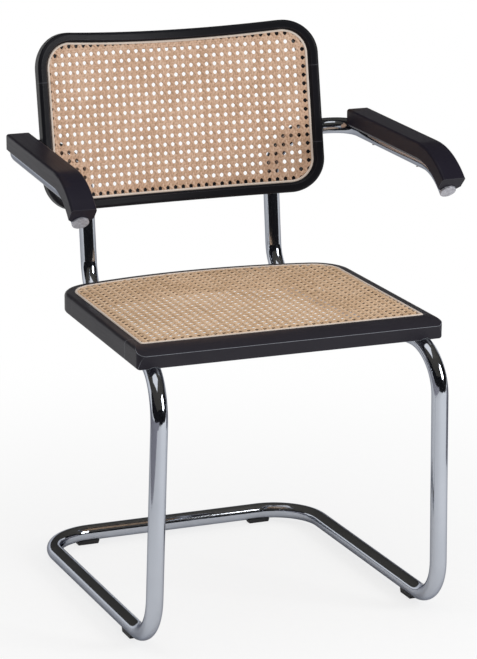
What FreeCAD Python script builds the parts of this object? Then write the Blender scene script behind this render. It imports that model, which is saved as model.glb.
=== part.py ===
import FreeCAD, Part
import math
import os
from FreeCAD import Placement, Rotation, Vector

# Cantilever armchair: a bent steel tube, a caned wooden seat and back, and two wooden arm pads.
# Millimetres, +Z up, and the sitter faces -Y. The chair is drawn with y = 0 at the foot of the
# front legs and z = 0 on the floor, and moves at the end so that the origin is under its middle.

# Steel tube
tube_diameter = 25.0
tube_wall = 2.0
leg_bend_radius = 72.0
floor_corner_radius = 80.0
upright_foot_bend_radius = 62.0
shoulder_bend_radius = 75.0
arm_front_bend_radius = 98.0
bend_spacing = 1.0

# Route of the tube on one side, at its centre line
floor_depth = 514.8
floor_half_width_front = 225.3
floor_half_width_rear = 224.2
leg_top_half_width = 216.1
leg_top_forward = 13.5
rail_height = 417.5
rail_rise = 3.0
upright_half_width = 154.5
upright_foot_y = 460.3
upright_lean_deg = 5.85
shoulder_height = 647.3
shoulder_forward = 14.8
arm_rise = 16.4
arm_back_half_width = 277.3
arm_splay = 0.0265
arm_fall = 0.0466
arm_length = 323.5
arm_drop_deg = 45.0
arm_tip_length = 42.5

# Glides under the floor tubes
glide_length = 37.0
glide_width = 13.0
glide_height = 5.5
glide_saddle_rise = 1.5
glide_end_slope = 2.0
glide_front_y = 99.0
glide_rear_half_width = 147.5
glide_pin_diameter = 6.0
glide_pin_reach = 8.0

# Sleeve that joins the two halves of the tube
sleeve_length = 90.0
sleeve_wall = 2.0

# Seat
seat_overhang = 21.0
seat_setback = 16.0
seat_rear_clearance = 36.3
seat_taper = 0.014
seat_thickness = 29.8
seat_let_in = 10.3
seat_pitch_deg = 1.2
seat_front_corner_radius = 12.0
seat_rear_corner_radius = 60.0
seat_rear_bow_radius = 800.0
seat_rim_width = 15.8
seat_front_rim_width = 35.6
seat_ledge_width = 26.5
seat_front_drop = 8.5
seat_front_undercut = 8.0
seat_top_edge_radius = 6.0
seat_low_edge_radius = 4.0
seat_rear_rail_reach = 105.0

# Back
back_side_gap = 46.9
back_height = 274.2
back_dip = 8.4
back_top_corner_radius = 54.8
back_bottom_corner_radius = 52.8
back_thickness = 22.0
back_curve_radius = 800.0
back_lean_deg = 9.5
back_rise = 44.8
back_let_in = 7.5
back_rim_width = 15.5
back_ledge_width = 12.0
back_edge_radius = 4.5
back_bevel = 3.0
back_stile_half_length = 60.0

# Cane, and the spline that holds its edge down
cane_thickness = 1.6
back_cane_depth = 4.5
spline_width = 4.0
spline_depth = 5.0
spline_crown = 0.8
cane_corner_radius = 4.0
seat_cane_columns = 16
seat_cane_rows = 13
back_cane_columns = 18
back_cane_rows = 9
cane_gap_share = 0.5

# Arm pads
pad_width = 37.7
pad_top_above_tube = 31.0
pad_thickness = 28.0
pad_setback = 49.0
pad_edge_radius = 4.0
pad_chamfer = 5.0

# End caps of the tube
cap_thickness = 3.0
cap_edge_radius = 1.2
cap_stem_length = 8.0

# Screws
screw_diameter = 4.5
screw_head_diameter = 10.0
screw_head_height = 2.5
seat_screw_bite = 11.0
back_screw_bite = 8.5
arm_screw_bite = 13.0
seat_front_screw_setback = 80.0
seat_rear_screw_margin = 8.0
back_stile_screw_inset = 9.0
arm_screw_margin = 60.0
arm_screw_spacing = 150.0

# Joinery of the wooden frames
tenon_length = 16.0
tenon_width = 18.0
tenon_cover = 1.9
back_tenon_width = 12.0

# Clearances
fit_gap = 0.3
slide_gap = 0.15

tube_radius = tube_diameter / 2
bore_radius = tube_radius - tube_wall
screw_radius = screw_diameter / 2
floor_tube_height = glide_height + tube_radius
seat_front_half_width = leg_top_half_width + seat_overhang
seat_depth = upright_foot_y - seat_setback - seat_rear_clearance
seat_rail_width = seat_rim_width + seat_ledge_width
seat_front_rail_width = seat_front_rim_width + seat_ledge_width
back_half_width = arm_back_half_width - back_side_gap
back_rail_width = back_rim_width + back_ledge_width
spline_floor = cane_thickness + spline_depth
up = Vector(0, 0, 1)
sideways = Vector(1, 0, 0)
forward = Vector(0, -1, 0)
origin = Vector(0, 0, 0)
reach = 2000.0
near = 0.01


# Helpers


def mirrored(shape):
    """The same shape on the other side of the chair."""
    return shape.mirror(origin, sideways)


def between(a, b, share):
    return a + (b - a) * share


def slab(low_x, high_x, low_y, high_y, low_z, high_z):
    """Box between two corners."""
    size = (high_x - low_x, high_y - low_y, high_z - low_z)
    return Part.makeBox(*size, Vector(low_x, low_y, low_z))


def rod(start, direction, length, radius):
    return Part.makeCylinder(radius, length, start, direction)


def holed_face(wires):
    """Flat face inside the outermost wire, with a hole at each of the others."""
    return Part.makeFace(wires, "Part::FaceMakerBullseye").Faces[0]


def ring(centre, direction, outer, inner):
    """Flat ring square to a direction, or a disc where inner is 0."""
    radii = (outer, inner) if inner else (outer,)
    return holed_face([Part.Wire(Part.makeCircle(r, centre, direction)) for r in radii])


def prism(wires, low_z, high_z):
    """Solid between two heights, from flat wires drawn at z = 0."""
    face = holed_face(wires)
    face.translate(up * low_z)
    return face.extrude(up * (high_z - low_z))


def bend(before, corner, after, radius):
    """The arc that rounds one corner of a route: its ends, centre, axis and angle."""
    back = (before - corner).normalize()
    ahead = (after - corner).normalize()
    turn = math.pi - back.getAngle(ahead)
    cut = radius * math.tan(turn / 2)
    centre = corner + (back + ahead).normalize() * (radius / math.cos(turn / 2))
    axis = ahead.cross(back).normalize()
    return corner + back * cut, corner + ahead * cut, centre, axis, math.degrees(turn)


def pipe(corners, radii, outer, inner=0):
    """Tube of straight runs and true arcs through a list of corners."""
    runs = []
    start = corners[0]
    for index, radius in enumerate(radii):
        arc_start, arc_end, centre, axis, angle = bend(*corners[index:index + 3], radius)
        run = arc_start - start
        runs.append(ring(start, run, outer, inner).extrude(run))
        runs.append(ring(arc_start, run, outer, inner).revolve(centre, axis, angle))
        start = arc_end
    run = corners[-1] - start
    runs.append(ring(start, run, outer, inner).extrude(run))
    return runs[0].multiFuse(runs[1:]).removeSplitter()


def edges_on(shape, wires):
    """Edges of a shape whose middle lies on one of some reference wires."""
    found = []
    for edge in shape.Edges:
        middle = Part.Vertex(edge.valueAt((edge.FirstParameter + edge.LastParameter) / 2))
        if any(middle.distToShape(wire)[0] < near for wire in wires):
            found.append(edge)
    return found


def rounded(corners, curved_side, corner_radii):
    """Closed outline through four corners, with one curved side, whose corners are rounded.

    The corners run anticlockwise from the low left. The side from the third to the fourth passes
    through the point curved_side. corner_radii are for the low and for the high pair of corners.
    """
    low_left, low_right, high_right, high_left = corners
    sides = [
        Part.makeLine(low_left, low_right),
        Part.makeLine(low_right, high_right),
        Part.Arc(high_right, curved_side, high_left).toShape(),
        Part.makeLine(high_left, low_left),
    ]
    blank = Part.Face(Part.Wire(sides)).extrude(up)
    for pair, radius in zip((corners[:2], corners[2:]), corner_radii):
        posts = [Part.makeLine(corner, corner + up) for corner in pair]
        blank = blank.makeFillet(radius, edges_on(blank, posts))
    floor = [face for face in blank.Faces if abs(face.CenterOfMass.z) < near]
    return floor[0].OuterWire


# Steel tube


def arm_direction():
    return Vector(arm_splay, -1, -arm_fall).normalize()


def tube_corners():
    """Corners of the right half's route, from the middle of the rear bar to the arm's tip."""
    foot_height = rail_height + rail_rise
    lean = math.tan(math.radians(upright_lean_deg))
    shoulder_y = upright_foot_y + (shoulder_height - foot_height) * lean
    arm_back = Vector(arm_back_half_width, shoulder_y - shoulder_forward, shoulder_height + arm_rise)
    arm_front = arm_back + Vector(arm_splay, -1, -arm_fall) * arm_length
    drop = math.radians(arm_drop_deg)
    tip = Vector(arm_splay * math.cos(drop), -math.cos(drop), -math.sin(drop)) * arm_tip_length
    return [
        Vector(0, floor_depth, floor_tube_height),
        Vector(floor_half_width_rear, floor_depth, floor_tube_height),
        Vector(floor_half_width_front, 0, floor_tube_height),
        Vector(leg_top_half_width, -leg_top_forward, rail_height),
        Vector(upright_half_width, upright_foot_y, foot_height),
        Vector(upright_half_width, shoulder_y, shoulder_height),
        arm_back,
        arm_front,
        arm_front + tip,
    ]


def tube_radii():
    """Bend radii along the route. The bend behind the arm takes the length that is left there."""
    corners = tube_corners()
    foot, shoulder, arm_back, arm_front = corners[4:8]
    used = (bend(foot, shoulder, arm_back, shoulder_bend_radius)[1] - shoulder).Length
    left = (arm_back - shoulder).Length - used - bend_spacing
    cut_of_unit = (bend(shoulder, arm_back, arm_front, 1)[0] - arm_back).Length
    return [
        floor_corner_radius,
        leg_bend_radius,
        leg_bend_radius,
        upright_foot_bend_radius,
        shoulder_bend_radius,
        left / cut_of_unit,
        arm_front_bend_radius,
    ]


def on_run(first_corner, axis, value):
    """Point of a straight run of the route, where its x, y or z has a value."""
    a, b = tube_corners()[first_corner:first_corner + 2]
    return between(a, b, (value - a[axis]) / (b[axis] - a[axis]))


def under_seat(y):
    return on_run(3, 1, y)


def on_upright(z):
    return on_run(4, 2, z)


def on_shoulder(x):
    return on_run(5, 0, x)


def on_arm(y):
    return on_run(6, 1, y)


def glide_places():
    """Right hand glides: a point on the tube's centre line and the way the tube runs there."""
    middle, rear, front = tube_corners()[:3]
    return [
        (between(front, rear, glide_front_y / floor_depth), (rear - front).normalize()),
        (middle + sideways * glide_rear_half_width, sideways),
    ]


def seat_screw_places():
    corners = tube_corners()
    bend_start = bend(*corners[3:6], upright_foot_bend_radius)[0]
    front_y = seat_setback + seat_front_screw_setback
    rear_y = bend_start.y - seat_rear_screw_margin
    return [(under_seat(y), up, seat_screw_bite) for y in (front_y, rear_y)]


def back_screw_places():
    """One screw from each upright into the bottom rail, and one into the stile above it."""
    drop = (back_height - back_rim_width) / 2 * math.cos(math.radians(back_lean_deg))
    rail_screw = on_upright(shoulder_height + back_rise - drop)
    stile_screw = on_shoulder(back_half_width - back_stile_screw_inset)
    return [(point, forward, back_screw_bite) for point in (rail_screw, stile_screw)]


def arm_screw_places():
    along = arm_direction()
    square = (up - along * up.dot(along)).normalize()
    rear_y = tube_corners()[6].y - pad_setback - arm_screw_margin
    return [(on_arm(y), square, arm_screw_bite) for y in (rear_y, rear_y - arm_screw_spacing)]


def tube_room():
    """Room that the right half of the tube takes in the wood and plastic around it."""
    return pipe(tube_corners(), tube_radii(), tube_radius + fit_gap)


def frame_tube():
    """Right half of the steel tube, drilled for its screws and for the pins of its glides."""
    tube = pipe(tube_corners(), tube_radii(), tube_radius, bore_radius)
    holes = []
    for point, direction, bite in seat_screw_places() + back_screw_places() + arm_screw_places():
        start = point - direction * tube_diameter
        holes.append(rod(start, direction, 2 * tube_diameter, screw_radius + slide_gap))
    for point, direction in glide_places():
        holes.append(rod(point, -up, tube_diameter, glide_pin_diameter / 2 + slide_gap))
    return tube.cut(holes)


def frame_sleeve():
    """Short tube inside the rear bar, across the joint of the two halves."""
    outer = bore_radius - slide_gap
    start = Vector(-sleeve_length / 2, floor_depth, floor_tube_height)
    return ring(start, sideways, outer, outer - sleeve_wall).extrude(sideways * sleeve_length)


def end_cap():
    """Plug in the open end of the arm: a disc with a rounded edge and a hollow stem."""
    arm_front, tip = tube_corners()[7:]
    out = (tip - arm_front).normalize()
    disc = rod(tip, out, cap_thickness, tube_radius)
    rim = Part.Wire(Part.makeCircle(tube_radius, tip + out * cap_thickness, out))
    disc = disc.makeFillet(cap_edge_radius, edges_on(disc, [rim]))
    stem_radius = bore_radius - slide_gap
    stem = ring(tip - out * cap_stem_length, out, stem_radius, stem_radius - tube_wall)
    return disc.fuse(stem.extrude(out * cap_stem_length)).removeSplitter()


def glide(point, direction, room):
    """Plastic saddle under a floor tube, with sloped ends and a pin up into the tube."""
    underside = point.z - tube_radius
    top = underside + glide_saddle_rise
    half = glide_length / 2
    foot = half - glide_end_slope
    front = -glide_width / 2
    side = Part.makePolygon([
        Vector(-foot, front, 0),
        Vector(foot, front, 0),
        Vector(half, front, glide_height),
        Vector(half, front, top),
        Vector(-half, front, top),
        Vector(-half, front, glide_height),
        Vector(-foot, front, 0),
    ])
    block = Part.Face(side).extrude(Vector(0, glide_width, 0))
    block.Placement = Placement(Vector(point.x, point.y, 0), Rotation(sideways, direction))
    root = Vector(point.x, point.y, glide_height / 2)
    pin = rod(root, up, underside + glide_pin_reach - root.z, glide_pin_diameter / 2)
    return block.cut(room).fuse(pin).removeSplitter()


def screw(point, direction, bite):
    """Head against the near side of the tube, and a shank through the tube into the wood."""
    under_head = point - direction * (tube_radius + slide_gap)
    head = rod(under_head - direction * screw_head_height, direction, screw_head_height,
               screw_head_diameter / 2)
    shank = rod(under_head, direction, slide_gap + tube_diameter + bite, screw_radius)
    return head.fuse(shank).removeSplitter()


def pilot(point, direction, bite):
    """Hole in the wood for the point of a screw."""
    return rod(point, direction, tube_radius + bite + fit_gap, screw_radius + slide_gap)


def both_sides(shapes):
    """Shapes of the right side with their mirror images, as one group."""
    return Part.makeCompound(shapes + [mirrored(shape) for shape in shapes])


# Seat


def seat_place(shape):
    """From the seat's own frame, with the middle of its front top edge at 0, to its place."""
    rail_top = under_seat(seat_setback).z + tube_radius
    corner = Vector(0, seat_setback, rail_top - seat_let_in + seat_thickness)
    moved = shape.copy()
    moved.Placement = Placement(corner, Rotation(sideways, seat_pitch_deg))
    return moved


def seat_outline(inset, front_inset):
    """Outline of the seat at z = 0, drawn in from its edge, and by another amount at the front."""
    middle_y = seat_depth - seat_rear_bow_radius
    radius = seat_rear_bow_radius - inset
    side = seat_front_half_width - inset
    # The side line meets the bow of the rear edge where a quadratic in y is 0.
    square = 1 + seat_taper ** 2
    linear = side * seat_taper + middle_y
    constant = side ** 2 + middle_y ** 2 - radius ** 2
    rear_y = (linear + math.sqrt(linear ** 2 - square * constant)) / square
    rear_x = side - seat_taper * rear_y
    front_x = side - seat_taper * front_inset
    corners = [
        Vector(-front_x, front_inset, 0),
        Vector(front_x, front_inset, 0),
        Vector(rear_x, rear_y, 0),
        Vector(-rear_x, rear_y, 0),
    ]
    front_radius = max(seat_front_corner_radius - inset, cane_corner_radius)
    rear_radius = seat_rear_corner_radius - inset
    return rounded(corners, Vector(0, seat_depth - inset, 0), (front_radius, rear_radius))


def seat_field(inset):
    """Outline of the caned field, drawn in from the outside of its spline."""
    return seat_outline(seat_rim_width + inset, seat_front_rim_width + inset)


def seat_frame():
    """The seat's wooden frame before it is parted into rails."""
    outer = seat_outline(0, 0)
    blank = prism([outer], -seat_thickness, 0)
    low = outer.copy()
    low.translate(up * -seat_thickness)
    blank = blank.makeFillet(seat_top_edge_radius, edges_on(blank, [outer]))
    blank = blank.makeFillet(seat_low_edge_radius, edges_on(blank, [low]))
    # The front edge falls away in an arc to a crisp line on the front face.
    run = seat_front_rim_width - spline_crown
    nose_radius = (run ** 2 + seat_front_drop ** 2) / (2 * seat_front_drop)
    nose = slab(-reach, reach, -reach, run, -seat_front_drop, reach)
    nose = nose.cut(rod(Vector(-reach, run, -nose_radius), sideways, 2 * reach, nose_radius))
    # Below that line the front face slopes back to the underside.
    corners = [
        Vector(-reach, 0, -seat_front_drop),
        Vector(-reach, seat_front_undercut, -seat_thickness),
        Vector(-reach, 0, -seat_thickness),
        Vector(-reach, 0, -seat_front_drop),
    ]
    undercut = Part.Face(Part.makePolygon(corners)).extrude(sideways * 2 * reach)
    hole = prism([seat_outline(seat_rail_width, seat_front_rail_width)], -reach, reach)
    rabbet = prism([seat_field(spline_width)], -cane_thickness, reach)
    groove = prism([seat_field(0), seat_field(spline_width)], -spline_floor, reach)
    return blank.cut([nose, undercut, hole, rabbet, groove])


def seat_tenons(gap):
    """Right hand tenons of the side rail, front and rear, each grown by a gap."""
    low = seat_let_in - seat_thickness + tenon_cover - gap
    high = -spline_floor - tenon_cover + gap
    tenons = []
    for joint_y, sign in ((seat_front_rail_width, -1), (seat_depth - seat_rear_rail_reach, 1)):
        x = seat_front_half_width - joint_y * seat_taper - seat_rail_width / 2
        ends = sorted((joint_y - sign, joint_y + sign * (tenon_length + gap)))
        half = tenon_width / 2 + gap
        tenons.append(slab(x - half, x + half, *ends, low, high))
    return tenons


def seat_rails(room):
    """Front, rear and side rails of the seat, grooved underneath for the tube."""
    frame = seat_frame()
    front_y = seat_front_rail_width
    rear_y = seat_depth - seat_rear_rail_reach
    mortises = both_sides(seat_tenons(slide_gap))
    front = frame.common(slab(-reach, reach, -reach, front_y, -reach, reach)).cut(mortises)
    rear = frame.common(slab(-reach, reach, rear_y, reach, -reach, reach)).cut(mortises)
    side = frame.common(slab(0, reach, front_y, rear_y, -reach, reach))
    side = side.fuse(seat_tenons(0)).removeSplitter()
    cuts = both_sides([room] + [pilot(*place) for place in seat_screw_places()])
    side = seat_place(side).cut(cuts)
    return {
        "seat_front_rail": seat_place(front).cut(cuts),
        "seat_rear_rail": seat_place(rear).cut(cuts),
        "seat_side_rail_right": side,
        "seat_side_rail_left": mirrored(side),
    }


def square_gap(x, y, size):
    corners = [(-1, -1), (1, -1), (1, 1), (-1, 1), (-1, -1)]
    return Part.makePolygon([Vector(x + a * size / 2, y + b * size / 2, 0) for a, b in corners])


def net(edge, columns, rows):
    """Woven panel as one holed face, with the gaps that the edge leaves room for."""
    field = Part.Face(edge)
    box = edge.BoundBox
    pitch_x = box.XLength / (columns + 1)
    pitch_y = box.YLength / (rows + 1)
    size = cane_gap_share * min(pitch_x, pitch_y)
    gaps = []
    for column in range(columns):
        for row in range(rows):
            x = box.XMin + (column + 1) * pitch_x
            y = box.YMin + (row + 1) * pitch_y
            probes = [Vector(x + a * size, y + b * size, 0) for a in (-1, 1) for b in (-1, 1)]
            if all(field.isInside(probe, near, True) for probe in probes):
                gaps.append(square_gap(x, y, size))
    return holed_face([edge] + gaps)


def seat_cane():
    panel = net(seat_field(spline_width + slide_gap), seat_cane_columns, seat_cane_rows)
    panel.translate(up * -cane_thickness)
    return seat_place(panel.extrude(up * cane_thickness))


def seat_spline():
    wires = [seat_field(slide_gap), seat_field(spline_width - slide_gap)]
    return seat_place(prism(wires, -spline_floor, spline_crown))


# Back


def back_place(shape):
    """From the back's own frame, upright about its middle, to its place against the uprights."""
    lean = math.radians(back_lean_deg)
    # The depth that the uprights are let in is taken at the top edge of the bottom rail.
    down = back_height / 2 - back_rail_width
    height = shoulder_height + back_rise
    touch = on_upright(height - down * math.cos(lean))
    tube_front = touch.y - tube_radius / math.cos(math.radians(upright_lean_deg))
    sag = back_curve_radius - math.sqrt(back_curve_radius ** 2 - touch.x ** 2)
    rear_face = back_thickness / 2 - sag
    y = tube_front + back_let_in - rear_face * math.cos(lean) + down * math.sin(lean)
    moved = shape.copy()
    moved.Placement = Placement(Vector(0, y, height), Rotation(sideways, -back_lean_deg))
    return moved


def back_layer(front_depth, rear_depth):
    """Part of the back's curved thickness, between two depths behind its front face."""
    front_radius = back_curve_radius - back_thickness / 2
    centre = Vector(0, -back_curve_radius, -back_height)
    layer = ring(centre, up, front_radius + rear_depth, front_radius + front_depth)
    layer = layer.extrude(up * (2 * back_height))
    return layer.common(slab(-reach, reach, -back_curve_radius / 2, reach, -reach, reach))


def back_outline(inset):
    """Outline of the back drawn flat at z = 0, with y for its height, drawn in from its edge."""
    half_width = back_half_width - inset
    half_height = back_height / 2 - inset
    corners = [
        Vector(-half_width, -half_height, 0),
        Vector(half_width, -half_height, 0),
        Vector(half_width, half_height, 0),
        Vector(-half_width, half_height, 0),
    ]
    radii = (back_bottom_corner_radius - inset, back_top_corner_radius - inset)
    return rounded(corners, Vector(0, half_height - back_dip, 0), radii)


def upright(flat):
    """Solid of a flat drawing stood up, with y for its height, through the back's thickness."""
    solid = flat.extrude(up * back_curve_radius)
    solid.translate(up * (-back_curve_radius / 2))
    solid.rotate(origin, sideways, 90)
    return solid


def back_ring(outer_inset, inner_inset, front_depth, rear_depth):
    """Curved band between two insets of the outline and between two depths."""
    flat = holed_face([back_outline(outer_inset), back_outline(inner_inset)])
    return back_layer(front_depth, rear_depth).common(upright(flat))


def back_edges(solid, depth, outline):
    """Edges at a depth behind the front face whose middle lies over an outline."""
    found = []
    for edge in solid.Edges:
        middle = edge.valueAt((edge.FirstParameter + edge.LastParameter) / 2)
        from_axis = math.hypot(middle.x, middle.y + back_curve_radius)
        off = from_axis - (back_curve_radius - back_thickness / 2) - depth
        over = Part.Vertex(middle.x, middle.z, 0)
        if abs(off) < near and over.distToShape(outline)[0] < near:
            found.append(edge)
    return found


def back_frame():
    """The back's wooden frame before it is parted into rails and stiles."""
    outer = back_outline(0)
    opening = back_outline(back_rim_width)
    solid = back_layer(0, back_thickness).common(upright(Part.Face(outer)))
    rims = back_edges(solid, 0, outer) + back_edges(solid, back_thickness, outer)
    solid = solid.makeFillet(back_edge_radius, rims)
    cane_floor = back_cane_depth + cane_thickness
    solid = solid.cut(back_layer(-1, cane_floor).common(upright(Part.Face(opening))))
    solid = solid.makeChamfer(back_bevel, back_edges(solid, 0, opening))
    groove_floor = back_cane_depth + spline_floor
    groove = back_ring(back_rim_width, back_rim_width + spline_width, -1, groove_floor)
    return solid.cut([upright(Part.Face(back_outline(back_rail_width))), groove])


def back_tenons(gap):
    """Right hand tenons of the stile, at its foot and at its head, each grown by a gap."""
    groove_floor = back_cane_depth + spline_floor
    layer = back_layer(groove_floor + tenon_cover - gap, back_thickness - tenon_cover + gap)
    middle = back_half_width - back_rail_width / 2
    half = back_tenon_width / 2 + gap
    inner_end = back_stile_half_length - 1
    outer_end = back_stile_half_length + tenon_length + gap
    tenons = []
    for low_z, high_z in ((-outer_end, -inner_end), (inner_end, outer_end)):
        tenons.append(layer.common(slab(middle - half, middle + half, -reach, reach, low_z, high_z)))
    return tenons


def back_rails(room):
    """Top and bottom rails with rounded corners, and stiles, grooved behind for the tube."""
    frame = back_frame()
    end = back_stile_half_length
    mortises = both_sides(back_tenons(slide_gap))
    top = frame.common(slab(-reach, reach, -reach, reach, end, reach)).cut(mortises)
    bottom = frame.common(slab(-reach, reach, -reach, reach, -reach, -end)).cut(mortises)
    stile = frame.common(slab(0, reach, -reach, reach, -end, end))
    stile = stile.fuse(back_tenons(0)).removeSplitter()
    cuts = both_sides([room] + [pilot(*place) for place in back_screw_places()])
    stile = back_place(stile).cut(cuts)
    return {
        "back_top_rail": back_place(top),
        "back_bottom_rail": back_place(bottom).cut(cuts),
        "back_stile_right": stile,
        "back_stile_left": mirrored(stile),
    }


def back_cane():
    edge = back_outline(back_rim_width + spline_width + slide_gap)
    panel = upright(net(edge, back_cane_columns, back_cane_rows))
    layer = back_layer(back_cane_depth, back_cane_depth + cane_thickness - slide_gap)
    return back_place(layer.common(panel))


def back_spline():
    outer = back_rim_width + slide_gap
    inner = back_rim_width + spline_width - slide_gap
    front = back_cane_depth - spline_crown
    return back_place(back_ring(outer, inner, front, back_cane_depth + spline_floor - slide_gap))


# Arm pads


def arm_pad(room):
    """Right hand wooden pad that follows the arm, grooved underneath for the tube."""
    arm_back, arm_front, tip = tube_corners()[6:]
    start, end, centre, axis = bend(arm_back, arm_front, tip, arm_front_bend_radius)[:4]
    side = axis * (pad_width / 2)
    low = pad_top_above_tube - pad_thickness
    along = arm_direction()
    square = axis.cross(along)
    tip_square = axis.cross((tip - end).normalize())
    if square.z < 0:
        square, tip_square = -square, -tip_square
    crest = (arm_front - centre).normalize()
    above, below = [
        Part.Wire([
            Part.makeLine(arm_back + square * off, start + square * off),
            Part.Arc(
                start + square * off,
                centre + crest * (arm_front_bend_radius + off),
                end + tip_square * off,
            ).toShape(),
            Part.makeLine(end + tip_square * off, tip + tip_square * off),
        ])
        for off in (pad_top_above_tube, low)
    ]
    ends = [
        Part.makeLine(above.Edges[0].firstVertex().Point, below.Edges[0].firstVertex().Point),
        Part.makeLine(above.Edges[-1].lastVertex().Point, below.Edges[-1].lastVertex().Point),
    ]
    outline = Part.Wire(Part.__sortEdges__(above.Edges + below.Edges + ends))
    face = Part.Face(outline)
    face.translate(-side)
    blank = face.extrude(side * 2)
    blank = blank.cut(slab(0, reach, arm_back.y - pad_setback, reach, 0, reach))
    blank = blank.makeFillet(pad_edge_radius, side_edges(blank, above, side))
    blank = blank.makeChamfer(pad_chamfer, side_edges(blank, below, side))
    return blank.cut([room] + [pilot(*place) for place in arm_screw_places()])


def side_edges(blank, wire, side):
    """Edges of a blank along a wire moved to each of its sides."""
    moved = []
    for offset in (side, -side):
        copy = wire.copy()
        copy.translate(offset)
        moved.append(copy)
    return edges_on(blank, moved)


# Assembly


def chair():
    """Every piece of the chair by name."""
    tube = frame_tube()
    room = tube_room()
    cap = end_cap()
    pad = arm_pad(room)
    front_glide, rear_glide = [glide(*place, room) for place in glide_places()]
    pieces = {
        "frame_tube_right": tube,
        "frame_tube_left": mirrored(tube),
        "frame_sleeve": frame_sleeve(),
        "end_cap_right": cap,
        "end_cap_left": mirrored(cap),
        "glide_front_right": front_glide,
        "glide_front_left": mirrored(front_glide),
        "glide_rear_right": rear_glide,
        "glide_rear_left": mirrored(rear_glide),
        "seat_cane": seat_cane(),
        "seat_spline": seat_spline(),
        "back_cane": back_cane(),
        "back_spline": back_spline(),
        "arm_pad_right": pad,
        "arm_pad_left": mirrored(pad),
        "seat_screws": both_sides([screw(*place) for place in seat_screw_places()]),
        "back_screws": both_sides([screw(*place) for place in back_screw_places()]),
        "arm_screws": both_sides([screw(*place) for place in arm_screw_places()]),
    }
    pieces.update(seat_rails(room))
    pieces.update(back_rails(room))
    return pieces


def main():
    pieces = chair()
    frame = pieces["frame_tube_right"].optimalBoundingBox(False)
    middle = Vector(0, -(frame.YMin + frame.YMax) / 2, 0)
    os.makedirs("parts", exist_ok=True)
    for name, shape in pieces.items():
        shape.translate(middle)
        shape.exportStep(f"parts/{name}.step")


main()
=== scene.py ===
import math
import random

import bpy
from mathutils import Matrix, Vector
from mathutils.bvhtree import BVHTree


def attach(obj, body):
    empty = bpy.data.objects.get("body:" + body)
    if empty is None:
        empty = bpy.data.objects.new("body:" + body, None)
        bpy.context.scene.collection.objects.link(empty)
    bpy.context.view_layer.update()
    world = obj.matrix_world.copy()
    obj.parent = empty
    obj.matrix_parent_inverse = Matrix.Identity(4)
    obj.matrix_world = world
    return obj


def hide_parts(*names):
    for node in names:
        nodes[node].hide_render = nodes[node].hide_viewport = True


# Cantilever armchair: woven cane, spline beads, screw heads, materials, light and camera around
# the CAD frame. Metres, +Z up, and the sitter faces -Y.

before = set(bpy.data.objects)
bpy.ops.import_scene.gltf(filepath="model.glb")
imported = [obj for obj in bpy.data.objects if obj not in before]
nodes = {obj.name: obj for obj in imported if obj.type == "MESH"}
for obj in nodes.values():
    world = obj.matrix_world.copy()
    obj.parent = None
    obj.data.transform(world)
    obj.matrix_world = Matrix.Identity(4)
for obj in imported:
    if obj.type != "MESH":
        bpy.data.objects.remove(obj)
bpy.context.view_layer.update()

# Photograph: height and focal length in pixels, and the camera's place and angles in degrees
photo_height_pixels = 659
focal_pixels = 2866.8
camera_place = Vector((-1.5555, -3.8725, 1.4813))
camera_azimuth = -21.99
camera_elevation = 14.50
camera_roll = -0.10
sensor_size = 36.0

# Caned panels: their tilt from level in degrees, and the radius of the back's curve at the cane
seat_tilt = 1.2
back_tilt = 80.5
back_cane_radius = 0.7935

# Lattice of the weave: its pitch across and up the panel, and one hole's place from the middle
seat_pitch = (0.01274, 0.01320)
seat_hole = (-0.0004, -0.0059)
back_pitch = (0.01280, 0.01338)
back_hole = (0.0039, 0.0069)

# Cane strands: the two of a pair lie one on each side of its line, and the lifts are how far
# pairs and diagonals rise and dip about the weave's level, which is under the panel's face
strand_width = 0.0035
strand_thickness = 0.0009
pair_offset = 0.00175
pair_lift = 0.0004
diagonal_lift = 0.0009
weave_level = -0.0006
stations_per_pitch = 6

# Section of a strand, in shares of its width and thickness: flat below and rounded above
strand_profile = ((-0.5, -0.5), (-0.5, 0.05), (-0.24, 0.5), (0.24, 0.5), (0.5, 0.05), (0.5, -0.5))

# Differences between strands: the width's factor, and how far the fibres are shifted along
width_factors = (0.94, 1.05)
fibre_shift = 40

# Ends of the strands: how far from its base and in which steps each line is searched, the tuck
# under the spline, and the shortest stretch that is woven
search_reach = 0.8
search_step = 0.002
edge_tuck = 0.002
shortest_run = 3 * edge_tuck

# Bead of the spline: its section is a share of the way from the inner to the outer side, and a
# height over the panel's face, while the width and the tone are for the fibres alone
bead_stations = 720
bead_width = 0.004
bead_tone = 0.5
bead_profile = (
    (0.0, -0.002), (0.0, 0.0003), (0.14, 0.0009), (0.5, 0.0013), (0.86, 0.0009), (1.0, 0.0003),
    (1.0, -0.002),
)

# Arm screws: the height of the solid head, and the section of the domed head, as a radius and a
# height over the tube, from the rim to the floor of its hexagon socket
head_height = 0.0025
head_sides = 48
socket_radius = 0.0015
head_profile = (
    (0.0035, -0.0009), (0.0035, 0.0000), (0.0031, 0.0004), (0.0025, 0.0007), (0.0018, 0.0008),
    (0.0015, 0.0007), (0.0015, -0.0002),
)

# Wood: the axes that a grain can run along, how often it changes along and across them, and how
# far the painted edge highlight reaches from an edge
crosswise, lengthwise, upwards = range(3)
grain_along = 11.0
grain_across = 420.0
highlight_reach = 0.0012
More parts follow.
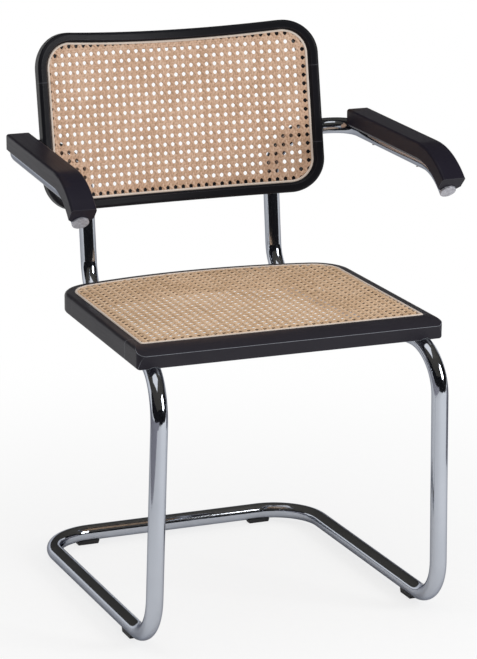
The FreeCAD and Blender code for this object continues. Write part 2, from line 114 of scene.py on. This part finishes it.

# Stained wood by its use: axis of the grain, stain, warm patches and painted edge highlight
lilac_black = (0.025, 0.023, 0.030)
deep_black = (0.010, 0.010, 0.013)
arm_black = (0.016, 0.014, 0.023)
# Colours of the painted highlight along the sharp edges of the seat's and the back's wood
seat_highlight = (0.08, 0.08, 0.09)
back_warm = (0.012, 0.011, 0.015)
back_highlight = (0.09, 0.09, 0.11)
wood_finishes = {
    # Each finish's last colour is a painted highlight along its sharp edges, palest on the front
    # rail
    "front_wood": (crosswise, lilac_black, (0.032, 0.029, 0.036), (0.36, 0.38, 0.42)),
    "seat_wood_across": (crosswise, lilac_black, (0.030, 0.027, 0.034), seat_highlight),
    "seat_wood_along": (lengthwise, lilac_black, (0.027, 0.025, 0.030), seat_highlight),
    "back_wood_across": (crosswise, deep_black, back_warm, back_highlight),
    "back_wood_upright": (upwards, deep_black, back_warm, back_highlight),
    "arm_wood": (lengthwise, arm_black, (0.036, 0.022, 0.016), (0.05, 0.05, 0.06)),
}

# Floor: how white the camera sees it under the chair, and the distances over which it changes
# round the chair, round the white pool that polished surfaces see, and far away
floor_half = 20
under_chair = (0, 0, 0)
near_white = 0.75
near_reach = (0.3, 1.4)
white_pool = (0.8, -1.3, 0)
pool_reach = (0.4, 1.3)
far_reach = (2.5, 6.0)

# Light on matt surfaces from all round, and soft boxes: place, target, width, height and watts
world_level = 0.6
soft_boxes = {
    "key_softbox": ((1.9, -2.3, 1.7), (0, 0, 0.45), 1.0, 1.3, 42),
    "top_softbox": ((-0.6, -0.4, 3.0), (0, 0, 0.4), 2.0, 2.0, 13),
}

# Cloths and cards round the chair: colour, centre, half sizes before the turn, and turn
black_cloth = (0.02, 0.02, 0.023)
brown_cloth = (0.12, 0.112, 0.098)
grey_card = (0.34, 0.33, 0.36)
lying = Matrix.Identity(3)
facing_front = Matrix.Rotation(math.pi / 2, 3, "X")
facing_side = Matrix.Rotation(math.pi / 2, 3, "Y")
flags = {
    "dark_ceiling": (brown_cloth, (0, 3.5, 3.3), (9, 12.5), lying),
    "dark_front": (black_cloth, (0, -8.0, 1.65), (9, 1.65), facing_front),
    "dark_left": (black_cloth, (-7.0, -2.5, 1.65), (1.65, 5.5), facing_side),
    "dark_right": (black_cloth, (7.0, -2.5, 1.65), (1.65, 5.5), facing_side),
    "dark_floor_front": (black_cloth, (0, -5.2, 0.01), (7, 2.8), lying),
    "dark_floor_left": (black_cloth, (-4.3, -1.6, 0.01), (2.7, 0.8), lying),
    "dark_floor_right": (black_cloth, (4.3, -2.0, 0.01), (2.7, 0.4), lying),
    "grey_left": (grey_card, (-0.95, -0.75, 0.14), (0.14, 1.65), facing_side),
    "grey_right": (grey_card, (0.95, 0.5, 0.14), (0.14, 1.0), facing_side),
}

draws = random.Random(7)


# Shader helpers


def feed(tree, socket, value):
    """Give a socket a value, or the output of another node."""
    if isinstance(value, bpy.types.NodeSocket):
        tree.links.new(value, socket)
    else:
        socket.default_value = value


def add(tree, kind, settings=None, **inputs):
    """Shader node with its settings, and with its sockets fed by name, with _ for a space."""
    node = tree.nodes.new("ShaderNode" + kind)
    for name, value in (settings or {}).items():
        setattr(node, name, value)
    for name, value in inputs.items():
        feed(tree, node.inputs[name.replace("_", " ")], value)
    return node


def blank_material(name):
    """Material with an empty node tree and its output."""
    made = bpy.data.materials.new(name)
    made.use_nodes = True
    made.node_tree.nodes.clear()
    return made, made.node_tree, add(made.node_tree, "OutputMaterial")


def finish_material(tree, output, shader):
    tree.links.new(shader.outputs[0], output.inputs["Surface"])


def object_space(tree, scale=(1, 1, 1)):
    place = add(tree, "TexCoord").outputs["Object"]
    return add(tree, "Mapping", Vector=place, Scale=scale).outputs[0]


def noise(tree, space, scale, detail, roughness=0.5):
    made = add(tree, "TexNoise", Vector=space, Scale=scale, Detail=detail, Roughness=roughness)
    return made.outputs[0]


def ramp(tree, factor, stops):
    """Colour from a factor, through a list of places and colours."""
    made = add(tree, "ValToRGB", Fac=factor)
    elements = made.color_ramp.elements
    while len(elements) < len(stops):
        elements.new(0.5)
    for element, (place, colour) in zip(elements, stops):
        element.position = place
        element.color = (*colour, 1.0)
    return made.outputs[0]


def spread(tree, value, low, high, start=0.0, end=1.0, course="LINEAR"):
    """Value that goes from low to high while another goes from start to end."""
    made = add(
        tree, "MapRange", {"interpolation_type": course},
        Value=value, From_Min=start, From_Max=end, To_Min=low, To_Max=high,
    )
    return made.outputs[0]


def result(tree, operation, *values, kind="Math"):
    """Number that a Math or VectorMath node works out from its inputs in order."""
    made = add(tree, kind, {"operation": operation})
    for socket, value in zip(made.inputs, values):
        feed(tree, socket, value)
    return made.outputs["Value"]


def blend(tree, factor, first, second):
    """First colour where the factor is 0, and the second where it is 1."""
    made = add(tree, "Mix", {"data_type": "RGBA"})
    entries = {socket.identifier: socket for socket in made.inputs}
    feed(tree, entries["Factor_Float"], factor)
    feed(tree, entries["A_Color"], first)
    feed(tree, entries["B_Color"], second)
    return next(socket for socket in made.outputs if socket.identifier == "Result_Color")


def bump(tree, height, distance):
    return add(tree, "Bump", Height=height, Distance=distance, Strength=1.0).outputs[0]


# Materials


def chrome():
    """Polished chrome on a drawn tube: near mirror, with faint haze and fine drawing lines."""
    made, tree, output = blank_material("chrome")
    space = object_space(tree)
    haze = noise(tree, space, 14.0, 4.0)
    shader = add(
        tree, "BsdfPrincipled",
        Base_Color=ramp(tree, haze, ((0.3, (0.50, 0.53, 0.59)), (0.7, (0.55, 0.58, 0.64)))),
        Metallic=1.0,
        Specular_Tint=(0.45, 0.46, 0.5, 1.0),
        Roughness=spread(tree, haze, 0.05, 0.11),
        Normal=bump(tree, noise(tree, space, 220.0, 2.0), 0.00003),
    )
    finish_material(tree, output, shader)
    return made


def edge_highlight_mask(tree):
    """1 along a sharp edge, falling to 0 on the faces beside it: where an edge highlight is
    painted.
    """
    rounded = add(tree, "Bevel", {"samples": 8}, Radius=highlight_reach).outputs[0]
    flat = add(tree, "NewGeometry").outputs["True Normal"]
    facing = result(tree, "DOT_PRODUCT", rounded, flat, kind="VectorMath")
    return spread(tree, facing, 1.0, 0.0, start=0.90, end=0.98)


def black_wood(name, along, stained, warm, highlight_colour):
    """Black stained beech with a satin lacquer, whose grain runs along one axis.

    Brown shows through the thinner stain in patches of the warm colour, and a highlight is
    painted in the last colour along the sharp edges.
    """
    made, tree, output = blank_material(name)
    grain_scale = [grain_along if axis == along else grain_across for axis in range(3)]
    grain = noise(tree, object_space(tree, grain_scale), 1.0, 5.0, 0.6)
    patches = noise(tree, object_space(tree), 9.0, 2.0)
    darker = tuple(0.9 * part for part in stained)
    stain = ramp(tree, patches, ((0.35, darker), (0.6, stained), (0.8, warm)))
    # Painted highlight along the sharp edges, broken up by the grain
    highlight_share = result(tree, "MULTIPLY", edge_highlight_mask(tree), spread(tree, grain, 0.6, 1.2))
    shader = add(
        tree, "BsdfPrincipled",
        Base_Color=blend(tree, highlight_share, stain, (*highlight_colour, 1.0)),
        Roughness=spread(tree, grain, 0.28, 0.42),
        Specular_IOR_Level=0.12,
        Normal=bump(tree, grain, 0.00012),
    )
    finish_material(tree, output, shader)
    return made


def reed(name, dark, middle, light):
    """Peeled cane or reed: fibres along the strand, and a tone of its own for each strand."""
    made, tree, output = blank_material(name)
    fibre_scale = (35.0, 1600.0, 1.0)
    tone_share = 0.35
    cloud_share = 0.4
    strip = add(tree, "TexCoord").outputs["UV"]
    fibre_space = add(tree, "Mapping", Vector=strip, Scale=fibre_scale).outputs[0]
    fibre = noise(tree, fibre_space, 1.0, 4.0, 0.6)
    tone = add(tree, "Attribute", {"attribute_name": "strand_tone"}).outputs["Fac"]
    clouds = noise(tree, object_space(tree), 16.0, 3.0)
    fibres = spread(tree, fibre, 0.0, 1 - tone_share)
    toned = result(tree, "MULTIPLY_ADD", tone, tone_share, fibres)
    lowered = spread(tree, toned, -cloud_share / 2, 1 - cloud_share / 2)
    clouded = result(tree, "MULTIPLY_ADD", clouds, cloud_share, lowered)
    shader = add(
        tree, "BsdfPrincipled",
        Base_Color=ramp(tree, clouded, ((0.2, dark), (0.5, middle), (0.85, light))),
        Roughness=spread(tree, fibre, 0.42, 0.62),
        Specular_IOR_Level=0.35,
        Normal=bump(tree, fibre, 0.00008),
    )
    finish_material(tree, output, shader)
    return made


def moulded(name, colour, roughness):
    """Moulded plastic with a fine even grain."""
    made, tree, output = blank_material(name)
    grain = noise(tree, object_space(tree), 900.0, 2.0)
    darker = tuple(0.9 * part for part in colour)
    shader = add(
        tree, "BsdfPrincipled",
        Base_Color=ramp(tree, grain, ((0.3, darker), (0.7, colour))),
        Roughness=spread(tree, grain, roughness - 0.05, roughness + 0.05),
        Normal=bump(tree, grain, 0.00002),
    )
    finish_material(tree, output, shader)
    return made


def mottled_cap():
    """Silvery plastic cap with a mottled, faintly crinkled face."""
    made, tree, output = blank_material("cap_plastic")
    mottle = noise(tree, object_space(tree), 260.0, 4.0, 0.65)
    shader = add(
        tree, "BsdfPrincipled",
        Base_Color=ramp(tree, mottle, ((0.35, (0.30, 0.29, 0.33)), (0.65, (0.56, 0.57, 0.62)))),
        Metallic=0.35,
        Roughness=spread(tree, mottle, 0.28, 0.48),
        Normal=bump(tree, mottle, 0.0004),
    )
    finish_material(tree, output, shader)
    return made


def screw_steel():
    """Zinc plated steel."""
    made, tree, output = blank_material("screw_steel")
    plating = noise(tree, object_space(tree), 300.0, 3.0)
    shader = add(
        tree, "BsdfPrincipled",
        Base_Color=ramp(tree, plating, ((0.3, (0.34, 0.34, 0.36)), (0.7, (0.44, 0.44, 0.46)))),
        Metallic=1.0,
        Roughness=spread(tree, plating, 0.28, 0.42),
    )
    finish_material(tree, output, shader)
    return made


# Meshes


def mesh_object(name, vertices, faces, material, tones=None, strips=None):
    """Smooth mesh, with each vertex's tone and its place on a strip of reed where it has them."""
    mesh = bpy.data.meshes.new(name)
    mesh.from_pydata(vertices, [], faces)
    mesh.validate()
    mesh.materials.append(material)
    mesh.polygons.foreach_set("use_smooth", [True] * len(mesh.polygons))
    if tones:
        attribute = mesh.attributes.new("strand_tone", "FLOAT", "POINT")
        attribute.data.foreach_set("value", tones)
    if strips:
        layer = mesh.uv_layers.new(name="UVMap")
        for loop in mesh.loops:
            layer.data[loop.index].uv = strips[loop.vertex_index]
    mesh.update()
    made = bpy.data.objects.new(name, mesh)
    bpy.context.scene.collection.objects.link(made)
    return made


def sleeve(begin, rings, sides):
    """Faces of a closed sleeve: bands between its rings of vertices, and a cap at each end."""
    last = begin + (rings - 1) * sides
    faces = []
    for first in range(begin, last, sides):
        second = first + sides
        for side in range(sides):
            after = (side + 1) % sides
            faces.append((first + side, first + after, second + after, second + side))
    faces.append(tuple(reversed(range(begin, begin + sides))))
    faces.append(tuple(range(last, last + sides)))
    return faces


# Caned panels


class Panel:
    """A caned field in its own flat space: s across, v up the panel, and w out of its face.

    A curved panel is unrolled, so s is the length along its curve. The spline around the field
    gives the field's edge.
    """

    def __init__(self, cane, spline, tilt, radius=None):
        angle = math.radians(tilt)
        self.across = Vector((1, 0, 0))
        self.up = Vector((0, math.cos(angle), math.sin(angle)))
        self.out = Vector((0, -math.sin(angle), math.cos(angle)))
        self.radius = radius
        self.level = max(self.height_over_middle(v.co) for v in nodes[cane].data.vertices)
        mesh = nodes[spline].data
        flat = [self.flatten(v.co) for v in mesh.vertices]
        self.spline = BVHTree.FromPolygons(flat, [list(p.vertices) for p in mesh.polygons])
        lows = [min(point[axis] for point in flat) for axis in range(3)]
        highs = [max(point[axis] for point in flat) for axis in range(3)]
        self.centre = Vector([(low + high) / 2 for low, high in zip(lows, highs)])

    def height_over_middle(self, point):
        """Height of a point along out, less the rise of the panel's curve there."""
        height = point.dot(self.out)
        if self.radius is None:
            return height
        return height - self.radius + math.sqrt(self.radius ** 2 - point.x ** 2)

    def flatten(self, point):
        """Point of the flat space for a point of the frame."""
        height = point.dot(self.out) - self.level
        if self.radius is None:
            return Vector((point.x, point.dot(self.up), height))
        below_axis = self.radius - height
        along = self.radius * math.atan2(point.x, below_axis)
        return Vector((along, point.dot(self.up), self.radius - math.hypot(point.x, below_axis)))

    def place(self, s, v, w):
        """Point of the frame for a point of the flat space."""
        if self.radius is None:
            return self.across * s + self.up * v + self.out * (self.level + w)
        turn = s / self.radius
        from_axis = self.radius - w
        depth = self.level + self.radius - from_axis * math.cos(turn)
        return self.across * (from_axis * math.sin(turn)) + self.up * v + self.out * depth

    def edge(self, direction):
        """Inner and outer side of the spline, seen from the panel's centre in a direction."""
        past_inner = 0.0005
        inner = self.spline.ray_cast(self.centre, direction)[0]
        outer = self.spline.ray_cast(inner + direction * past_inner, direction)[0]
        return inner, outer

    def inside(self, s, v):
        """Whether a point of the flat space lies in the caned field."""
        away = Vector((s, v, self.centre.z)) - self.centre
        if away.length < search_step:
            return True
        return away.length < (self.edge(away.normalized())[0] - self.centre).length

    def field(self):
        """Lowest and highest s and v of the caned field."""
        sides = [self.edge(Vector(d))[0] for d in ((-1, 0, 0), (1, 0, 0), (0, -1, 0), (0, 1, 0))]
        return sides[0].x, sides[1].x, sides[2].y, sides[3].y


def runs_inside(panel, base, direction):
    """Stretches of a line that lie inside the field, as pairs of distances from its base."""
    found = []
    start = None
    for index in range(int(2 * search_reach / search_step)):
        t = index * search_step - search_reach
        if panel.inside(base[0] + direction[0] * t, base[1] + direction[1] * t):
            start = t if start is None else start
            end = t
        elif start is not None:
            found.append((start - edge_tuck, end + edge_tuck))
            start = None
    return [run for run in found if run[1] - run[0] > shortest_run]


def strands(panel, pitch, hole):
    """Every strand of the six way weave: base, direction, station step and height function.

    Pairs run up and across, and one diagonal each way passes between the crossings of the pairs,
    so that an octagonal hole is left in each square of the lattice.
    """
    pitch_s, pitch_v = pitch
    middle_s = panel.centre.x + hole[0] + pitch_s / 2
    middle_v = panel.centre.y + hole[1] + pitch_v / 2
    low_s, high_s, low_v, high_v = panel.field()
    columns = math.ceil((high_s - low_s) / pitch_s / 2) + 1
    rows = math.ceil((high_v - low_v) / pitch_v / 2) + 1

    def lattice(s, v):
        return (s - middle_s) / pitch_s, (v - middle_v) / pitch_v

    def upright(side):
        return lambda s, v: pair_lift * side * math.sin(math.tau * lattice(s, v)[1])

    def level(side):
        return lambda s, v: -pair_lift * side * math.sin(math.tau * lattice(s, v)[0])

    def diagonal(sign):
        def height(s, v):
            x, y = lattice(s, v)
            return sign * diagonal_lift * (math.cos(math.tau * y) - math.cos(math.tau * x)) / 2
        return height

    made = []
    for side in (-1, 1):
        for index in range(-columns, columns + 1):
            base = (middle_s + index * pitch_s + side * pair_offset, middle_v)
            made.append((base, (0, 1), pitch_v / stations_per_pitch, upright(side)))
        for index in range(-rows, rows + 1):
            base = (middle_s, middle_v + index * pitch_v + side * pair_offset)
            made.append((base, (1, 0), pitch_s / stations_per_pitch, level(side)))
    length = math.hypot(pitch_s, pitch_v)
    for sign in (-1, 1):
        direction = (pitch_s / length, sign * pitch_v / length)
        for index in range(-columns - rows, columns + rows):
            base = (middle_s + (index + 0.5) * pitch_s, middle_v)
            made.append((base, direction, length / stations_per_pitch, diagonal(sign)))
    return made


def weave(name, panel, pitch, hole, material):
    """Woven cane over a panel, strand by strand, tucked under the spline at its edge."""
    vertices, faces, tones, strips = [], [], [], []
    for base, direction, step, height in strands(panel, pitch, hole):
        across = (-direction[1], direction[0])
        for start, end in runs_inside(panel, base, direction):
            tone = draws.random()
            width = strand_width * draws.uniform(*width_factors)
            shift = draws.uniform(0, fibre_shift)
            inner = range(math.ceil(start / step), math.floor(end / step) + 1)
            stations = [start] + [index * step for index in inner] + [end]
            faces.extend(sleeve(len(vertices), len(stations), len(strand_profile)))
            for t in stations:
                s = base[0] + direction[0] * t
                v = base[1] + direction[1] * t
                lift = weave_level + height(s, v)
                for side, rise in strand_profile:
                    off = side * width
                    vertices.append(panel.place(
                        s + across[0] * off, v + across[1] * off, lift + rise * strand_thickness,
                    ))
                    tones.append(tone)
                    strips.append((shift + t, off))
    return mesh_object(name, vertices, faces, material, tones, strips)


def bead(name, panel, material):
    """Round topped reed that holds the edge of the cane down in its groove."""
    vertices, faces, tones, strips = [], [], [], []
    per_station = len(bead_profile)
    for station in range(bead_stations):
        angle = math.tau * station / bead_stations
        inner, outer = panel.edge(Vector((math.cos(angle), math.sin(angle), 0)))
        for share, height in bead_profile:
            point = inner.lerp(outer, share)
            vertices.append(panel.place(point.x, point.y, height))
            tones.append(bead_tone)
            strips.append((angle * inner.length, share * bead_width))
        first = station * per_station
        following = (station + 1) % bead_stations * per_station
        for side in range(per_station):
            after = (side + 1) % per_station
            faces.append((first + side, following + side, following + after, first + after))
    return mesh_object(name, vertices, faces, material, tones, strips)


# Arm screws


def solids_of(mesh):
    """Vertices of each separate solid of a mesh."""
    links = {index: set() for index in range(len(mesh.vertices))}
    for edge in mesh.edges:
        first, second = edge.vertices
        links[first].add(second)
        links[second].add(first)
    left = set(links)
    while left:
        reached = [left.pop()]
        for index in reached:
            found = links[index] & left
            left -= found
            reached.extend(found)
        yield [mesh.vertices[index].co.copy() for index in reached]


def head_seat(solid):
    """Where a screw's head meets the tube, and the direction that the head faces."""
    lowest = min(point.z for point in solid)
    highest = max(point.z for point in solid)
    head_end = [point for point in solid if point.z < lowest + head_height]
    far_end = [point for point in solid if point.z > highest - head_height]
    head_centre = sum(head_end, Vector()) / len(head_end)
    far_centre = sum(far_end, Vector()) / len(far_end)
    outward = (head_centre - far_centre).normalized()
    reach = max((point - far_centre).dot(outward) for point in solid)
    return far_centre + outward * (reach - head_height), outward


def hexagon(turn):
    """How far a hexagon reaches at a turn, with its corners 1 from the middle."""
    sixth = math.tau / 6
    return math.cos(sixth / 2) / math.cos(turn % sixth - sixth / 2)


def domed_heads(name, node, material):
    """Low domed heads, each with a hexagon socket, where the node's screws meet the tube."""
    vertices, faces = [], []
    for solid in solids_of(nodes[node].data):
        centre, outward = head_seat(solid)
        sideways = outward.orthogonal().normalized()
        forwards = outward.cross(sideways)
        faces.extend(sleeve(len(vertices), len(head_profile), head_sides))
        for radius, height in head_profile:
            for step in range(head_sides):
                turn = math.tau * step / head_sides
                sweep = radius * hexagon(turn) if radius <= socket_radius else radius
                aside = sideways * math.cos(turn) + forwards * math.sin(turn)
                vertices.append(centre + aside * sweep + outward * height)
    return mesh_object(name, vertices, faces, material)


# Light, floor and camera


def sheet(name, centre, half_sizes, turn, material):
    """Flat sheet around a centre, level before its turn."""
    half_x, half_y = half_sizes
    corners = [Vector((x * half_x, y * half_y, 0)) for x, y in ((-1, -1), (1, -1), (1, 1), (-1, 1))]
    places = [Vector(centre) + turn @ corner for corner in corners]
    made = mesh_object(name, places, [(0, 1, 2, 3)], material)
    return made


def seen_directly(tree):
    """1 for rays from the camera, off a polished surface or through glass, and otherwise 0."""
    path = add(tree, "LightPath").outputs
    camera_or_mirror = result(tree, "MAXIMUM", path["Is Camera Ray"], path["Is Glossy Ray"])
    return result(tree, "MAXIMUM", camera_or_mirror, path["Is Transmission Ray"])


def distance_ramp(tree, centre, reach, low, high):
    """Smooth change from low to high over a stretch of the distance from a point of the floor."""
    place = add(tree, "TexCoord").outputs["Object"]
    distance = result(tree, "DISTANCE", place, centre, kind="VectorMath")
    return spread(tree, distance, low, high, *reach, course="SMOOTHSTEP")


def pale_floor():
    """Pale matt floor, which turns to plain white away from the object.

    Polished surfaces see the matt floor near the object, a white pool in front of it, and white
    far away.
    """
    made, tree, output = blank_material("pale_floor")
    grain = noise(tree, object_space(tree), 60.0, 3.0)
    matt = add(
        tree, "BsdfPrincipled",
        Base_Color=ramp(tree, grain, ((0.2, (0.90, 0.90, 0.90)), (0.8, (0.93, 0.93, 0.93)))),
        Roughness=0.9,
        Specular_IOR_Level=0.1,
    )
    white = add(tree, "Emission", Color=(1, 1, 1, 1), Strength=1.0)
    camera_ray = add(tree, "LightPath").outputs["Is Camera Ray"]
    near = distance_ramp(tree, under_chair, near_reach, near_white, 1.0)
    pool = distance_ramp(tree, white_pool, pool_reach, 1.0, 0.0)
    far = distance_ramp(tree, under_chair, far_reach, 0.0, 1.0)
    looked_at = result(tree, "MULTIPLY", near, camera_ray)
    mirrored = result(tree, "MULTIPLY", result(tree, "MAXIMUM", pool, far), seen_directly(tree))
    mixed = add(tree, "MixShader", Fac=result(tree, "MAXIMUM", looked_at, mirrored))
    tree.links.new(matt.outputs[0], mixed.inputs[1])
    tree.links.new(white.outputs[0], mixed.inputs[2])
    finish_material(tree, output, mixed)
    return made


def white_world():
    """White all round where it is seen, and an even soft light on matt surfaces."""
    world = bpy.data.worlds.new("studio")
    bpy.context.scene.world = world
    world.use_nodes = True
    tree = world.node_tree
    tree.nodes.clear()
    strength = spread(tree, seen_directly(tree), world_level, 1.0)
    shade = add(tree, "Background", Color=(1, 1, 1, 1), Strength=strength)
    finish_material(tree, add(tree, "OutputWorld"), shade)


def soft_box(name, place, target, width, height, power):
    """Rectangular lamp that faces its target, and that the camera doesn't see."""
    light = bpy.data.lights.new(name, "AREA")
    light.shape = "RECTANGLE"
    light.size = width
    light.size_y = height
    light.energy = power
    made = bpy.data.objects.new(name, light)
    made.location = place
    made.rotation_euler = (Vector(target) - Vector(place)).to_track_quat("-Z", "Y").to_euler()
    made.visible_camera = False
    bpy.context.scene.collection.objects.link(made)


def flag(name, colour, centre, half_sizes, turn):
    """Cloth or card of the studio that only polished surfaces see."""
    cloth, tree, output = blank_material(name)
    finish_material(tree, output, add(tree, "BsdfDiffuse", Color=(*colour, 1)))
    made = sheet(name, centre, half_sizes, turn, cloth)
    made.visible_camera = False
    made.visible_diffuse = False
    made.visible_shadow = False
    made.visible_transmission = False


def photo_camera():
    """Camera at the photograph's place, angle and focal length."""
    azimuth, elevation, roll = map(math.radians, (camera_azimuth, camera_elevation, camera_roll))
    ahead = Vector((
        -math.sin(azimuth) * math.cos(elevation),
        math.cos(azimuth) * math.cos(elevation),
        -math.sin(elevation),
    ))
    right = Vector((math.cos(azimuth), math.sin(azimuth), 0))
    above = right.cross(ahead)
    rolled = right * math.cos(roll) + above * math.sin(roll)
    turn = Matrix((rolled, rolled.cross(ahead), -ahead)).transposed()
    data = bpy.data.cameras.new("photo_camera")
    data.sensor_width = sensor_size
    data.lens = focal_pixels * sensor_size / photo_height_pixels
    made = bpy.data.objects.new("photo_camera", data)
    made.matrix_world = Matrix.Translation(camera_place) @ turn.to_4x4()
    bpy.context.scene.collection.objects.link(made)
    bpy.context.scene.camera = made


# The chair's finish: the material of each CAD node, by the start of its name

steel = screw_steel()
wood = {name: black_wood(name, *looks) for name, looks in wood_finishes.items()}
seat_reed = reed("seat_reed", (0.50, 0.33, 0.19), (0.68, 0.47, 0.30), (0.79, 0.60, 0.43))
back_reed = reed("back_reed", (0.46, 0.285, 0.18), (0.63, 0.415, 0.285), (0.74, 0.545, 0.415))
spline_reed = reed("spline_reed", (0.55, 0.44, 0.36), (0.70, 0.60, 0.52), (0.80, 0.72, 0.65))

finishes = {
    "frame_tube": chrome(),
    "frame_sleeve": steel,
    "end_cap": mottled_cap(),
    "glide": moulded("glide_plastic", (0.012, 0.012, 0.014), 0.45),
    "seat_front_rail": wood["front_wood"],
    "seat_rear_rail": wood["seat_wood_across"],
    "seat_side_rail": wood["seat_wood_along"],
    "back_top_rail": wood["back_wood_across"],
    "back_bottom_rail": wood["back_wood_across"],
    "back_stile": wood["back_wood_upright"],
    "arm_pad": wood["arm_wood"],
    "seat_cane": seat_reed,
    "back_cane": back_reed,
    "seat_spline": spline_reed,
    "back_spline": spline_reed,
    "seat_screws": steel,
    "back_screws": steel,
    "arm_screws": steel,
}
for node_name, node_object in nodes.items():
    start = next(key for key in finishes if node_name.startswith(key))
    node_object.data.materials.clear()
    node_object.data.materials.append(finishes[start])

# Pieces that stand for CAD nodes

seat = Panel("seat_cane", "seat_spline", seat_tilt)
back = Panel("back_cane", "back_spline", back_tilt, back_cane_radius)
for label, panel, pitch, hole, cane in (
    ("seat", seat, seat_pitch, seat_hole, seat_reed),
    ("back", back, back_pitch, back_hole, back_reed),
):
    woven = weave(label + "_cane_weave", panel, pitch, hole, cane)
    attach(woven, "root")
    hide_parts(label + "_cane")
    edging = bead(label + "_spline_bead", panel, spline_reed)
    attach(edging, "root")
    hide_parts(label + "_spline")

arm_heads = domed_heads("arm_screw_heads", "arm_screws", steel)
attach(arm_heads, "root")
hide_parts("arm_screws")

# Studio

sheet("floor", under_chair, (floor_half, floor_half), lying, pale_floor())
white_world()
for name, settings in soft_boxes.items():
    soft_box(name, *settings)
for name, settings in flags.items():
    flag(name, *settings)
photo_camera()
bpy.context.scene.view_settings.view_transform = "Standard"
